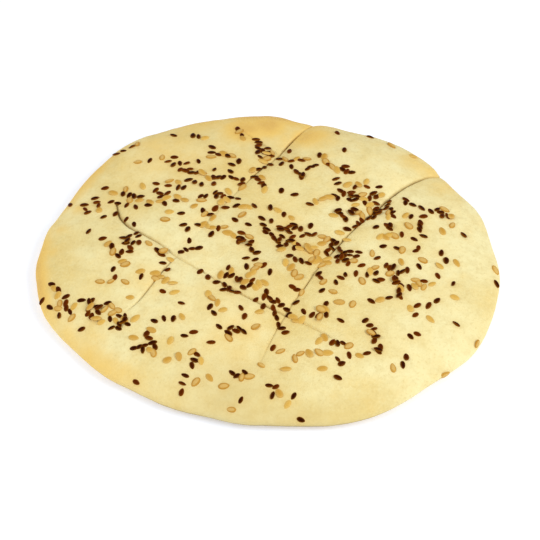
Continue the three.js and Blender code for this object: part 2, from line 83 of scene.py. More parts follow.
# The outline is an ellipse that swells out or falls in around some bearings: the bearing
# and the spread in degrees, the reach in millimetres.
OUTLINE_SWELLS = (
    (8, 8, -1.6), (27, 8, -3.8), (48, 8, -1.6), (63, 9, -4.6), (80, 5, -2), (99, 13, 1.6),
    (129, 9, 2.6), (156, 7, -0.7), (159, 14, -5.5), (169, 4, 1), (175, 5, -0.8),
    (188, 6, -1), (212, 10, -2.8), (232, 13, -4.6), (253, 10, -3.2), (271, 8, -1),
    (296, 15, 4.5), (329, 11, 3.8),
)

# Where the dough rose more or less than the plain dome: x, y, spread and rise in millimetres.
CRUST_SWELLS = (
    (62, 76, 30, 2.2), (-4, 104, 18, 1.8), (12, 12, 34, -1.6), (-50, 22, 24, 1),
    (78, -42, 34, 1.2), (-38, -66, 30, 1),
)

# Slow waves left by the baker's hands: height, wavelength along X and along Y in
# millimetres, and how far along its length each wave starts, in turns.
WAVES = ((0.45, 94, 160, 0.2), (0.4, -130, 88, 0.6), (0.25, 62, 70, 0.35))

# The scores in millimetres. Each point is x, y, the depth of the dip that the dough keeps
# on both sides of the score, and the depth of the knife's own line below that.
SCORES = (
    (
        (33, 119, 2.6, 0.9), (27, 109, 2.5, 0.6), (21, 100, 2.2, 0.8), (13, 87, 2.6, 2.4),
        (9, 80, 2.5, 1.4), (3, 70, 2.3, 0.7), (-4, 61, 2, 1.6), (-12, 49, 1.3, 0.7),
        (-30, 22, 1.1, 0.4), (-46, 0, 0.9, 0.3), (-56, -15, 1, 1.3), (-64, -28, 0.9, 1.3),
        (-70, -37, 0.8, 1.1), (-76, -44, 0.4, 0.5)
    ),
    (
        (113, 74, 1.8, 1), (101, 69, 2.2, 1), (92, 64, 2.8, 1.8), (82, 55, 3.2, 3.2),
        (73, 45, 3, 2.6), (62, 31, 2.6, 2), (50, 16, 2.2, 1.4), (39, 0, 2, 1.5),
        (28, -17, 1.8, 1.1), (21, -31, 1.6, 1.2), (13, -44, 1.4, 0.7), (6, -58, 1.2, 0.8),
        (0, -72, 0.8, 0.6), (-4, -82, 0.3, 0.3)
    ),
    (
        (-85, 38, 1, 1.6), (-83, 28, 1.9, 2.6), (-77, 18, 2, 2.4), (-69, 11, 1.9, 1.8),
        (-59, 3, 1.8, 1.3), (-49, -7, 1.6, 0.9), (-23, -28, 1.7, 0.9), (-6, -40, 1.8, 1.3),
        (10, -49, 1.4, 1.1), (25, -58, 1, 1), (37, -66, 0.4, 0.6)
    ),
    (
        (-13, 96, 0.6, 0.5), (-3, 86, 1.2, 0.9), (8, 77, 1, 0.5)
    ),
)
DIP_WIDTH = 6.5 * MM  # distance from the score at which a dip has eased off to a third
LINE_WIDTH = 0.5 * MM  # half the width of the shallowest knife line
LINE_FLARE = 0.1  # how much half the width grows with the line's depth
LINE_SHOWS = (0.2 * MM, 3 * MM)  # depths at which a line starts to darken and is darkest
PATH_STEPS = 12  # straight pieces between two points of a score

# The seeds fell in trails, in millimetres: x and y where each starts and ends, how far it
# spreads to the sides, and its numbers of brown and of golden seeds. The left of the loaf
# comes first, then the middle and the right.
TRAILS = (
    (-87, 83, -75, 89, 1, 3, 1), (-53, 73, -74, 71, 1.5, 2, 2), (-56, 68, -44, 66, 1.5, 5, 0),
    (-50, 61, -37, 57, 1, 4, 1), (-43, 93, -36, 90, 0.5, 2, 1), (-54, 95, -32, 81, 0.5, 2, 0),
    (-112, 43, -92, 52, 0.5, 2, 0), (-103, 39, -101, 32, 1, 3, 0), (-97, 44, -95, 33, 1, 3, 1),
    (-92, 27, -100, 16, 0.5, 2, 0), (-82, 45, -71, 41, 1, 4, 0), (-87, 47, -80, 49, 0.5, 0, 2),
    (-63, 51, -71, 50, 0.5, 1, 1), (-89, 40, -74, 33, 1, 4, 0), (-86, 30, -74, 18, 1.5, 3, 0),
    (-78, 39, -60, 35, 1, 0, 4), (-66, 34, -51, 34, 0.5, 3, 0), (-63, 46, -61, 39, 1.5, 4, 0),
    (-56, 48, -47, 44, 1.5, 3, 0), (-55, 52, -50, 50, 0.5, 0, 2), (-57, 38, -47, 35, 1, 0, 3),
    (-45, 51, -37, 47, 0.6, 3, 0), (-55, 26, -57, 20, 0.6, 0, 2), (-48, 23, -44, 4, 2.5, 4, 0),
    (-81, 8, -72, 9, 1.8, 5, 0), (-79, 3, -71, 3, 0.8, 3, 0), (-76, -1, -80, -3, 0.8, 3, 0),
    (-91, 8, -78, -13, 1.5, 3, 4), (-85, -15, -84, -21, 0.5, 2, 0), (-92, -23, -78, -24, 1, 0, 3),
    (-69, -22, -70, -18, 0.5, 1, 1), (-61, -3, -54, -17, 2.5, 4, 0), (-66, 2, -54, -10, 1, 0, 3),
    (-62, -19, -53, -28, 2.5, 0, 6), (-57, -33, -47, -42, 0.5, 2, 0),
    (-48, -3, -38, -2, 0.8, 4, 0), (-119, -20, -111, -30, 0.6, 3, 0),
    (-124, -29, -114, -41, 0.6, 3, 0), (-111, -35, -108, -41, 0.8, 3, 0),
    (-118, -24, -105, -44, 5, 0, 6), (-101, -52, -70, -88, 0.5, 2, 0),
    (-97, -36, -91, -43, 2, 7, 2), (-97, -43, -94, -48, 0.8, 3, 1),
    (-87, -38, -81, -43, 1.2, 1, 3), (-84, -46, -78, -48, 1, 3, 0),
    (-89, -50, -71, -50, 1.5, 0, 4), (-85, -54, -74, -54, 1.2, 6, 0),
    (-75, -35, -72, -63, 0.5, 0, 2), (-61, -52, -46, -52, 1.5, 3, 1),
    (-65, -61, -60, -70, 0.8, 4, 0), (-72, -69, -67, -71, 1, 4, 0),
    (-63, -59, -61, -74, 1.5, 0, 3), (-45, -64, -52, -67, 0.5, 1, 1),
    (-53, -79, -41, -75, 0.8, 0, 3), (-32, 76, -20, 72, 1.2, 3, 3), (-39, 68, -30, 60, 0.5, 2, 0),
    (-20, 64, -16, 67, 0.5, 2, 0), (-16, 98, -13, 89, 1.5, 2, 2), (-6, 89, -5, 73, 1, 6, 0),
    (-3, 77, 1, 75, 0.8, 3, 0), (0, 81, 13, 79, 0.5, 2, 0), (3, 78, -3, 67, 1.5, 0, 4),
    (8, 71, 20, 68, 1.5, 3, 3), (8, 66, 14, 63, 0.6, 2, 0), (2, 66, -5, 61, 0.6, 3, 0),
    (-8, 60, -3, 53, 0.8, 0, 2), (27, 64, 23, 61, 0.5, 3, 0), (30, 73, 40, 60, 1.5, 2, 4),
    (18, 59, 20, 52, 1.5, 4, 0), (-7, 54, -1, 42, 1, 4, 1), (8, 42, 15, 39, 0.5, 2, 0),
    (-21, 58, -18, 52, 0.5, 2, 0), (-36, 55, -33, 52, 0.5, 0, 2), (-30, 47, -16, 35, 0.5, 2, 0),
    (-30, 53, -23, 53, 1, 4, 0), (-14, 51, -14, 45, 0.6, 2, 1), (-37, 36, -23, 37, 1.5, 7, 0),
    (-26, 32, -19, 37, 1, 0, 3), (-41, 29, -37, 33, 0.8, 0, 2), (-29, 27, -17, 29, 0.5, 3, 0),
    (-7, 29, -14, 28, 0.6, 1, 2), (-36, 25, -30, 21, 1.5, 2, 2), (-38, 16, -20, 8, 1.5, 2, 6),
    (-18, 18, -14, 22, 0.5, 1, 1), (2, 29, 13, 21, 1, 2, 2), (-3, 20, 2, 18, 0.5, 2, 0),
    (24, 32, 35, 38, 0.8, 1, 3), (41, 25, 37, 23, 0.5, 1, 1), (-31, 8, -10, 14, 0.5, 2, 0),
    (-16, 5, -12, 6, 1, 4, 1), (-14, 3, -6, -7, 1.2, 5, 0), (-2, 15, 9, -4, 1, 7, 1),
    (7, 14, 12, 10, 1.2, 4, 0), (14, 16, 20, 12, 1.8, 5, 0), (9, 7, 11, 1, 1.5, 4, 1),
    (19, 7, 26, 9, 1, 3, 0), (16, 3, 17, -3, 1.2, 4, 1), (20, 1, 28, -7, 2.5, 0, 7),
    (25, -11, 30, -15, 1.2, 0, 3), (27, -1, 33, 4, 1, 0, 3), (38, 4, 32, -7, 1.5, 6, 1),
    (-12, -11, -11, -17, 0.5, 2, 0), (-6, -12, 2, -22, 0.8, 3, 0),
    (-22, -18, -23, -32, 1.5, 5, 0), (-4, -16, -10, -22, 1.2, 0, 4),
    (-37, -19, -28, -27, 0.5, 3, 0), (-26, -21, -21, -22, 0.8, 0, 2),
    (-17, -25, -14, -27, 0.6, 2, 1), (-13, -30, -8, -27, 0.8, 3, 0),
    (-7, -31, -2, -29, 0.8, 0, 3), (13, -10, 21, -15, 1.2, 4, 0), (10, -16, 17, -25, 1.5, 0, 4),
    (28, -22, 31, -28, 0.8, 2, 1), (14, -32, 19, -35, 0.8, 2, 1), (30, -34, 36, -35, 0.5, 1, 1),
    (-32, -36, -25, -48, 1.5, 0, 4), (-31, -46, -29, -50, 0.5, 2, 0),
    (-22, -32, -16, -34, 0.6, 3, 0), (0, -35, 2, -40, 1.2, 4, 0), (-6, -39, -2, -44, 0.5, 2, 0),
    (3, -45, 5, -52, 0.8, 3, 0), (5, -41, 12, -47, 1, 4, 0), (16, -42, 20, -48, 0.5, 2, 0),
    (-14, -46, -12, -52, 0.5, 2, 0), (13, -50, 18, -54, 0.8, 0, 3), (-4, -48, -6, -58, 0.5, 0, 2),
    (6, -56, 10, -61, 0.6, 3, 0), (-20, -59, -17, -62, 1, 4, 0), (-40, -62, -26, -59, 0.5, 2, 0),
    (-13, -62, -30, -69, 0.5, 2, 0), (3, -72, 7, -74, 0.5, 1, 1), (24, -51, 32, -50, 1, 3, 0),
    (32, -43, 29, -51, 0.8, 1, 3), (35, -68, 40, -69, 0.6, 3, 0), (28, -67, 31, -65, 0.6, 0, 2),
    (18, -75, 33, -75, 0.6, 0, 4), (15, -79, 10, -85, 0.6, 0, 2), (-21, -65, -3, -83, 0.5, 0, 2),
    (-38, -76, -40, -83, 0.6, 3, 0), (-44, -87, -45, -97, 1.5, 3, 0),
    (-37, -80, -38, -92, 0.5, 0, 2), (-31, -90, -23, -95, 0.5, 0, 2),
    (-19, -88, -9, -90, 1, 3, 2), (2, -95, 5, -99, 1.5, 3, 1), (14, -101, 11, -106, 0.5, 1, 1),
    (-14, -103, -19, -108, 0.5, 1, 1), (40, -54, 18, -113, 0.5, 2, 0),
    (30, -85, 44, -71, 0.5, 0, 2), (41, 95, 44, 77, 0.5, 2, 0), (60, 94, 84, 80, 0.5, 1, 2),
    (43, 60, 47, 58, 1, 4, 0), (39, 53, 41, 44, 1, 3, 0), (43, 41, 40, 37, 0.8, 3, 0),
    (50, 46, 63, 47, 0.6, 3, 0), (46, 49, 56, 49, 1.2, 0, 3), (48, 42, 48, 38, 0.6, 3, 0),
    (46, 37, 51, 37, 0.8, 3, 0), (54, 41, 50, 33, 1, 0, 3), (61, 40, 57, 36, 1, 4, 0),
    (62, 35, 61, 27, 0.8, 3, 0), (58, 34, 60, 29, 0.8, 0, 2), (64, 41, 78, 25, 0.5, 0, 2),
    (69, 37, 66, 29, 0.8, 4, 0), (70, 30, 71, 24, 0.5, 3, 0), (68, 27, 68, 23, 0.5, 0, 2),
    (49, 29, 47, 26, 0.6, 3, 0), (51, 27, 53, 24, 0.6, 0, 2), (57, 24, 63, 27, 0.8, 4, 0),
    (40, 26, 44, 21, 0.5, 3, 0), (53, 21, 49, 16, 0.6, 3, 0), (67, 16, 69, 15, 0.6, 3, 0),
    (62, 7, 71, 9, 1, 0, 4), (61, 15, 45, 13, 0.5, 2, 0), (82, 34, 92, 30, 0.5, 3, 0),
    (78, 38, 78, 36, 0.5, 2, 0), (96, 32, 98, 28, 1, 4, 0), (100, 33, 102, 28, 0.5, 0, 2),
    (88, 25, 81, 24, 0.5, 2, 0), (86, 20, 85, 14, 0.5, 3, 0), (79, 17, 98, 15, 0.5, 0, 2),
    (104, 21, 105, -8, 0.5, 0, 2), (110, 15, 97, -1, 0.5, 2, 0), (41, 10, 44, 5, 0.5, 0, 2),
    (75, 10, 82, 7, 0.5, 2, 0), (87, 10, 84, 1, 0.5, 2, 0), (64, 0, 72, -1, 0.5, 2, 0),
    (74, -3, 74, -11, 0.5, 0, 2), (82, -2, 99, -7, 0.5, 2, 0), (61, -9, 58, -6, 0.5, 1, 1),
    (86, -8, 95, -11, 0.5, 0, 2), (40, -2, 44, -5, 1.2, 4, 0), (39, -8, 49, -8, 1.2, 5, 0),
    (39, -11, 45, -11, 0.8, 3, 1), (45, -14, 52, -15, 0.5, 2, 0), (66, -14, 69, -17, 0.5, 3, 0),
    (72, -19, 77, -17, 0.5, 3, 0), (84, -13, 94, -19, 0.5, 2, 0), (49, -21, 55, -21, 0.5, 2, 0),
    (60, -20, 60, -25, 0.6, 3, 0), (60, -16, 58, -19, 0.5, 0, 2), (52, -26, 68, -20, 0.5, 0, 2),
    (43, -22, 38, -28, 0.6, 3, 0), (70, -23, 71, -27, 0.8, 4, 0), (81, -24, 83, -29, 1.2, 0, 4),
    (79, -28, 86, -24, 0.5, 2, 0), (91, -25, 74, -30, 0.5, 0, 2), (103, -23, 103, -33, 0.5, 1, 1),
    (73, -32, 72, -36, 0.6, 3, 0), (67, -37, 62, -39, 0.5, 1, 1), (57, -40, 75, -75, 0.5, 2, 0),
    (47, -43, 39, -42, 0.5, 0, 2), (88, -41, 93, -37, 0.5, 2, 0), (82, -42, 81, -48, 0.5, 2, 0),
    (78, -44, 89, -50, 0.5, 0, 2), (103, -51, 114, -60, 0.5, 1, 1), (53, -54, 58, -59, 0.5, 3, 0),
    (58, -63, 58, -67, 0.5, 3, 0), (56, -62, 50, -77, 0.5, 0, 2), (61, -71, 59, -75, 0.8, 3, 0),
    (54, -75, 44, -77, 0.5, 2, 0), (78, -62, 81, -60, 0.5, 2, 0), (73, -80, 38, -90, 0.5, 2, 0),
    (68, -83, 96, -80, 0.5, 0, 2), (38, -79, 40, -82, 0.5, 2, 0), (127, -17, 127, -7, 0.3, 1, 1),
)
SEED_ROOM = 2.6  # millimetres; a seed that falls closer than this to another rolls off it
SEED_TRIES = 5  # how often it rolls before it stays on another
SEED_START = 20261  # first value of the seeded draw
SEED_RINGS, SEED_SIDES = 10, 12
SEED_VARIETY = (0.03, 0.07, 0.08)  # shares by which length, width and thickness vary
ROLL, PILED_ROLL = 0.12, 0.2  # radians that a seed lies askew, alone and on another one
PITCH = 0.7  # share of that along its length
PILED_LIFT = 0.6  # thicknesses that a seed on another stands off the crust
SEED_HALO_SPREAD = 2.8  # millimetres from a seed's middle at which its oil stain and the painted shade round it have faded to a third

# Where the oven browned the rim: bearing and spread in degrees, how far in from the outline
# it reaches in millimetres, and how brown it is. It is gone at 1.6 times its reach.
RIM_EASE = 1.6
BROWNED = (
    (184, 20, 8, 0.85), (216, 21, 12, 0.55), (90, 14, 16, 1), (108, 14, 20, 0.5),
    (76, 7, 24, 0.6), (36, 6, 14, 0.35), (148, 18, 8, 0.7), (240, 12, 12, 0.25),
    (198, 8, 9, 0.55),
)

# Where it browned further in: x, y and spread in millimetres, and how brown it is.
BROWNED_SPOTS = (
    (0, 104, 16, 0.85), (-12, 99, 16, 0.8), (10, 92, 14, 0.4), (24, 92, 13, 0.8),
    (34, 88, 10, 0.35), (96, 70, 8, 0.4), (86, 76, 12, 0.35), (-58, 78, 34, 0.36),
    (14, 15, 22, 0.25), (-16, -60, 28, 0.28), (-98, -60, 16, 0.3), (10, 112, 40, 0.35),
    (-121, 5, 6, 0.4), (-116, 22, 6, 0.4), (-107, 37, 7, 0.4), (-64, -23, 14, 0.3),
    (105, 58, 12, 0.35), (-30, 66, 30, 0.3), (25, -4, 9, 0.4),
)

# Where the crust is palest, in the same terms: partly dough that took less colour, partly painted
# light on the right, where the key light falls.
PALE_AND_LIT_SPOTS = (
    (75, -20, 38, 1), (103, -56, 30, 1), (74, -56, 28, 1), (19, 60, 18, 0.7),
    (-93, 20, 26, 0.6), (18, -84, 20, 0.7), (45, 62, 20, 0.6), (60, 35, 30, 0.7),
    (-95, -33, 22, 0.6), (-66, 47, 18, 0.4), (14, 44, 22, 0.8), (102, 2, 24, 1),
    (-36, -45, 16, 0.6), (122, -6, 20, 1),
)

# Painted shade along the rim, darkest on the front rim, which turns down and away from the lights,
# in the same terms as the browned rim.
PAINTED_RIM_SHADE = ((267, 31, 13, 1), (222, 18, 8, 0.4))

# Where the crust is duller further in, in the same terms as the browned spots: partly its own
# duller tone, partly painted shade among the crowded seeds, below the front rim and along the back
# rim.
DULL_AND_SHADED_SPOTS = (
    (19, -4, 20, 0.6), (-9, 17, 18, 0.4), (-9, -25, 16, 0.4), (-20, -103, 32, 0.9),
    (-36, 104, 22, 0.4), (6, 101, 22, 0.75), (-60, -86, 20, 0.1),
)


def srgb(red, green, blue):
    """A screen colour, each part from 0 to 255, as the linear colour that a socket takes."""
    parts = np.array([red, green, blue]) / 255
    low = parts / 12.92
    high = ((parts + 0.055) / 1.055) ** 2.4
    return tuple(float(part) for part in np.where(parts <= 0.04045, low, high))


def colour(name, description, default):
    """A colour that the panel shows."""
    return FloatVectorProperty(
        name=name, description=description, default=default, subtype="COLOR", min=0, max=1)


def length(name, description, default):
    """A length that the panel shows."""
    return FloatProperty(
        name=name, description=description, default=default, unit="LENGTH", min=0)


def number(name, description, default):
    """A plain number that the panel shows."""
    return FloatProperty(name=name, description=description, default=default, min=0)


class FlatbreadLoaf(PropertyGroup):
    """Sizes of the loaf."""

    length: length("Length", "Long way of the plain oval", 260 * MM)
    width: length("Width", "Short way of the plain oval", 230 * MM)
    height: length("Height", "Crown of the dome above the table", 24 * MM)
    shoulder: length("Shoulder", "Height the dome would reach at the outline", 11 * MM)
    widest: length("Widest", "Height at which the loaf is widest", 5.5 * MM)
    cells: IntProperty(
        name="Cells", description="Cells across the crust's grid", default=272, min=16, max=300)


class FlatbreadSeeds(PropertyGroup):
    """Sizes of the flax seeds."""

    length: length("Length", "Length of a brown seed", 4.9 * MM)
    width: length("Width", "Width of a brown seed", 2.85 * MM)
    thickness: length("Thickness", "Thickness of a brown seed", 1.4 * MM)
    golden: number("Golden size", "A golden seed's size over a brown one's", 1.18)
    plump: number("Golden width", "A golden seed's width over its share of the size", 1.06)
    lift: length("Lift", "Height of a seed's middle above the crust", 0.08 * MM)
    spread: number("Size spread", "From the smallest seed to the largest, as a share", 0.2)


class FlatbreadColours(PropertyGroup):
    """Colours of the crust and of the seeds."""

    pale: colour("Pale crust", "Dough that took no colour", srgb(242, 230, 173))
    cream: colour("Cream crust", "Most of the crust", srgb(228, 205, 132))
    # The crust's own dull specks, and the colour of the painted shade that the dull field lays on
    # the rim and in patches.
    dull: colour("Dull crust", "Specks and small patches", srgb(210, 186, 118))
    tan: colour("Tan crust", "Lightly browned crust", srgb(240, 202, 110))
    brown: colour("Brown crust", "The most browned crust", srgb(208, 156, 78))
    # Partly oil stain, partly painted shade round the seeds.
    stain_and_shade: colour("Oil stain", "Crust beside the seeds", srgb(218, 180, 98))
    # Painted contact shadow: the colour of the dark band at the front of the foot, where shade
    # falls between the loaf and the table.
    foot: colour("Foot", "Front of the foot, close to the table", srgb(96, 80, 44))
    # Painted shade: the colour of the shade at the bottom of the knife's narrow lines.
    cut: colour("Knife line", "Bottom of the knife's lines", srgb(150, 112, 44))
    brown_seed: colour("Brown seed", "The darkest brown seeds", srgb(38, 1, 0))
    red_seed: colour("Reddish seed", "The lightest brown seeds", srgb(94, 34, 0))
    # Painted light: the thin edge of a brown seed drawn lighter, as if lit through.
    tan_lit_edge: colour("Tan edge", "Thin edge of a brown seed", srgb(162, 98, 14))
    golden_seed: colour("Golden seed", "The deepest golden seeds", srgb(180, 121, 14))
    pale_seed: colour("Pale seed", "The palest golden seeds", srgb(217, 174, 82))
    amber: colour("Amber spots", "Spots on a golden seed", srgb(176, 124, 30))
    # Painted light: the thin edge of a golden seed, and the middle of a darker one, drawn lighter
    # as if lit through.
    pale_lit_edge: colour("Pale edge", "Thin edge of a golden seed", srgb(231, 203, 130))


class FlatbreadStudio(PropertyGroup):
    """The studio's lights and camera."""

    key: FloatProperty(
        name="Key light", description="Power of the light on the right", default=22, unit="POWER")
    fill: FloatProperty(
        name="Fill light", description="Power of the light on the left", default=12.5, unit="POWER")
    surround: number("Surround", "Brightness of the white surroundings", 0.515)
    elevation: FloatProperty(
        name="Camera elevation", description="Angle of the camera above the table",
        default=math.radians(48), subtype="ANGLE")
    distance: length("Camera distance", "From the camera to the loaf", 1.6)


def bell(distance, spread):
    """A bell curve: one at no distance, about a third at the spread."""
    return np.exp(-((distance / spread) ** 2))


def smooth(low, high, value):
    """A smooth step: nothing below low, one above high, and three t squared less two t cubed
    between them."""
    share = np.clip((value - low) / (high - low), 0, 1)
    return share * share * (3 - 2 * share)


def turned(bearing, centre):
    """How far a bearing in radians is from a centre in degrees, in degrees, at most half a turn."""
    return (np.degrees(bearing) - centre + 180) % 360 - 180


def curve_through(points, steps):
    """A Catmull-Rom curve: cubics between each two points, whose slope at a point is half the
    way from its last neighbour to its next. The ends go on as straight as they came."""
    points = np.array(points, float)
    padded = np.vstack([2 * points[0] - points[1], points, 2 * points[-1] - points[-2]])
    slopes = (padded[2:] - padded[:-2]) / 2
    t = np.linspace(0, 1, steps, endpoint=False)[:, None]
    basis = (2 * t**3 - 3 * t**2 + 1, t**3 - 2 * t**2 + t, 3 * t**2 - 2 * t**3, t**3 - t**2)
    spans = [
        basis[0] * points[i] + basis[1] * slopes[i]
        + basis[2] * points[i + 1] + basis[3] * slopes[i + 1]
        for i in range(len(points) - 1)
    ]
    return np.vstack([*spans, points[-1:]])


def nearest_on(path, places):
    """For each place, the nearest point of a path of straight pieces, with what the path's
    further columns say there: the foot of the perpendicular, held within each piece."""
    best = np.full(len(places), np.inf)
    found = np.zeros((len(places), path.shape[1]))
    for start, end in zip(path[:-1], path[1:]):
        along = end[:2] - start[:2]
        share = np.clip((places - start[:2]) @ along / (along @ along), 0, 1)[:, None]
        point = start + (end - start) * share
        distance = np.hypot(*(places - point[:, :2]).T)
        closer = distance < best
        best[closer] = distance[closer]
        found[closer] = point[closer]
    return best, found


class Crust:
    """The loaf's surface, as a function of the bearing and of the distance walked from the
    crown along the cross-section."""

    def __init__(self, loaf):
        self.loaf = loaf
        foot_turn = math.pi - math.asin(FOOT ** (FOOT_CURVE / 2))
        samples, crowding = 6000, 6  # the outline's share changes fastest close to the crown
        self.turn = foot_turn * np.linspace(0, 1, samples) ** crowding
        self.share, self.height = self.section(self.turn)
        self.reach = (loaf.length + loaf.width) / 4
        steps = np.hypot(np.diff(self.share) * self.reach, np.diff(self.height))
        self.walked = np.concatenate([[0], np.cumsum(steps)])
        self.way = self.walked[-1]
        self.paths = [curve_through(points, PATH_STEPS) * MM for points in SCORES]

    def section(self, turn):
        """Share of the outline and height along the cross-section. Above the widest height the
        share is the sine of the turn to a small power and the height falls from the dome with
        its cosine. Below, it is the same with a rounder power, down to the table."""
        loaf = self.loaf
        upper = np.sin(turn) ** (2 / RIM_CURVE)
        lower = np.abs(np.sin(turn)) ** (2 / FOOT_CURVE)
        dome = loaf.height - (loaf.height - loaf.shoulder) * upper**2
        above = loaf.widest + (dome - loaf.widest) * np.cos(turn)
        below = loaf.widest * (1 + np.cos(turn))
        over = turn <= math.pi / 2
        return np.where(over, upper, lower), np.where(over, above, below)

    def outline(self, bearing):
        """Distance from the middle to the outline: an ellipse's radius and a bell curve of
        the bearing for each swell."""
        a, b = self.loaf.length / 2, self.loaf.width / 2
        radius = a * b / np.hypot(b * np.cos(bearing), a * np.sin(bearing))
        for centre, spread, reach in OUTLINE_SWELLS:
            radius = radius + reach * MM * bell(turned(bearing, centre), spread)
        return radius

    def plain(self, walked, bearing):
        """The smooth loaf without its relief: outline times share, turned by the bearing."""
        radius = self.outline(bearing) * np.interp(walked, self.walked, self.share)
        height = np.interp(walked, self.walked, self.height)
        return np.stack([radius * np.cos(bearing), radius * np.sin(bearing), height], -1)

    def normal(self, walked, bearing):
        """Cross product of the smooth loaf's slopes along the walk and round the bearing."""
        step, turn = 0.2 * MM, 0.002
        down = (self.plain(np.minimum(walked + step, self.way), bearing)
                - self.plain(np.maximum(walked - step, 0), bearing))
        round_it = self.plain(walked, bearing + turn) - self.plain(walked, bearing - turn)
        normal = np.cross(down, round_it)
        size = np.linalg.norm(normal, axis=-1, keepdims=True)
        crown = (walked < step)[:, None]
        return np.where(crown, (0, 0, 1), normal / np.where(size > 0, size, 1))

    def relief(self, flat):
        """How far the crust stands off the smooth loaf, without the knife's lines: bell
        curves, slow sine waves and, beside each score, a dip that eases off exponentially."""
        x, y = flat.T
        rise = np.zeros(len(flat))
        for height, along_x, along_y, start in WAVES:
            turns = x / (along_x * MM) + y / (along_y * MM) + start
            rise += height * MM * np.sin(2 * math.pi * turns)
        for centre_x, centre_y, spread, height in CRUST_SWELLS:
            distance = np.hypot(x - centre_x * MM, y - centre_y * MM)
            rise += height * MM * bell(distance, spread * MM)
        for path in self.paths:
            distance, point = nearest_on(path, flat)
            rise -= point[:, 2] * np.exp(-distance / DIP_WIDTH)
        return rise

    def grain(self, flat):
        """Small unevenness of the dough: many sine waves in all directions, each as high as
        the same small share of its wavelength."""
        random = np.random.default_rng(7)
        shortest, longest, waves, steepness = 4.5 * MM, 26 * MM, 48, 0.0012
        rise = np.zeros(len(flat))
        for wavelength in np.geomspace(shortest, longest, waves):
            direction, start = random.uniform(0, 2 * math.pi, 2)
            turns = flat @ (math.cos(direction), math.sin(direction)) / wavelength
            rise += steepness * wavelength * np.sin(2 * math.pi * turns + start)
        return rise

    def knife(self, flat):
        """Depth of the knife's lines, and how much of a line is there, as a share of the painted
        shade
        at its bottom: a V as deep as the score says, whose sides flare with the depth."""
        depth = np.zeros(len(flat))
        line_shade = np.zeros(len(flat))
        for path in self.paths:
            distance, point = nearest_on(path, flat)
            line = point[:, 3]
            half = LINE_WIDTH + LINE_FLARE * line
            inside = np.clip(1 - distance / half, 0, 1)
            depth = np.maximum(depth, line * inside)
            line_shade = np.maximum(line_shade, smooth(*LINE_SHOWS, line) * inside)
        return depth, line_shade

    def fade(self, walked):
        """One on the upper side, easing off to nothing at the foot."""
        turn = np.interp(walked, self.walked, self.turn)
        return np.clip(2 - turn / (math.pi / 2), 0, 1) ** 2

    def lifted(self, walked, bearing, fine=0):
        """The crust with its relief and any fine relief that is given, moved along the smooth
        loaf's normal."""
        flat = self.plain(walked, bearing)
        rise = (self.relief(flat[:, :2]) + fine) * self.fade(walked)
        return flat + self.normal(walked, bearing) * rise[:, None]

    def places(self, walked, bearing):
        """The whole crust, with its grain and the knife's lines, and where the lines are, with
        their painted shade.
        """
        plan = self.plain(walked, bearing)[:, :2]
        depth, line_shade = self.knife(plan)
        places = self.lifted(walked, bearing, self.grain(plan) - depth)
        places[:, 2] = np.maximum(places[:, 2], 0)
        return places, line_shade * self.fade(walked)

    def rim(self):
        """The outline itself, on the table, twice to a degree."""
        bearing = np.linspace(0, 2 * math.pi, 720)
        radius = self.outline(bearing)
        return np.stack([radius * np.cos(bearing), radius * np.sin(bearing), 0 * bearing], -1)

    def walk_to(self, share):
        """Distance walked on the upper side to a share of the outline, going on down the rim
        past the outline."""
        upper = self.turn <= math.pi / 2
        walked = np.interp(share, self.share[upper], self.walked[upper])
        return walked + np.maximum(share - 1, 0) * self.reach

    def seat(self, plan):
        """Where something that falls on the crust comes to rest, and which way is up there.
        The place under it is found by three steps back along the relief."""
        aim = plan.copy()
        for _ in range(3):
            bearing = np.arctan2(aim[:, 1], aim[:, 0])
            walked = self.walk_to(np.hypot(*aim.T) / self.outline(bearing))
            places = self.lifted(walked, bearing)
            aim += plan - places[:, :2]
        step = 0.8 * MM
        east, north = step / np.maximum(walked, step), step
        across = self.lifted(walked, bearing + east) - self.lifted(walked, bearing - east)
        down = self.lifted(walked + north, bearing) - self.lifted(walked - north, bearing)
        up = np.cross(down, across)
        return places, up / np.linalg.norm(up, axis=1, keepdims=True)


def disc_from_square(cells):
    """A round grid from a square one: squares about the middle become rings about it, so a
    cell's greater coordinate is its radius and the ratio of the two is its bearing."""
    side = np.linspace(-1, 1, cells + 1)
    a, b = (axis.ravel() for axis in np.meshgrid(side, side, indexing="xy"))
    wide = np.abs(a) >= np.abs(b)
    greater, lesser = np.where(wide, a, b), np.where(wide, b, a)
    ratio = lesser / np.where(greater == 0, 1, greater)
    quarter = math.pi / 4
    angle = np.where(wide, quarter * ratio, 2 * quarter - quarter * ratio)
    return np.stack([greater * np.cos(angle), greater * np.sin(angle)], -1)


def draw_to_scores(disc, crust):
    """Draws the grid of the unrolled crust closer together along the scores. A grid point's
    distance from a score, as a share of the band's width, is raised to a power above one, and
    to the full power only where the knife's line is deep."""
    band, power, deep = 8 * MM, 1.7, 1.2 * MM
    for path in crust.paths:
        bearing = np.arctan2(path[:, 1], path[:, 0])
        walked = crust.walk_to(np.hypot(path[:, 0], path[:, 1]) / crust.outline(bearing))
        unrolled = np.stack([walked * np.cos(bearing), walked * np.sin(bearing), path[:, 3]], -1)
        distance, point = nearest_on(unrolled, disc)
        share = np.clip(distance / band, 1e-6, 1)
        pull = share ** ((power - 1) * np.clip(point[:, 2] / deep, 0, 1))
        drawn = point[:, :2] + (disc - point[:, :2]) * pull[:, None]
        disc = np.where((share < 1)[:, None], drawn, disc)
    return disc


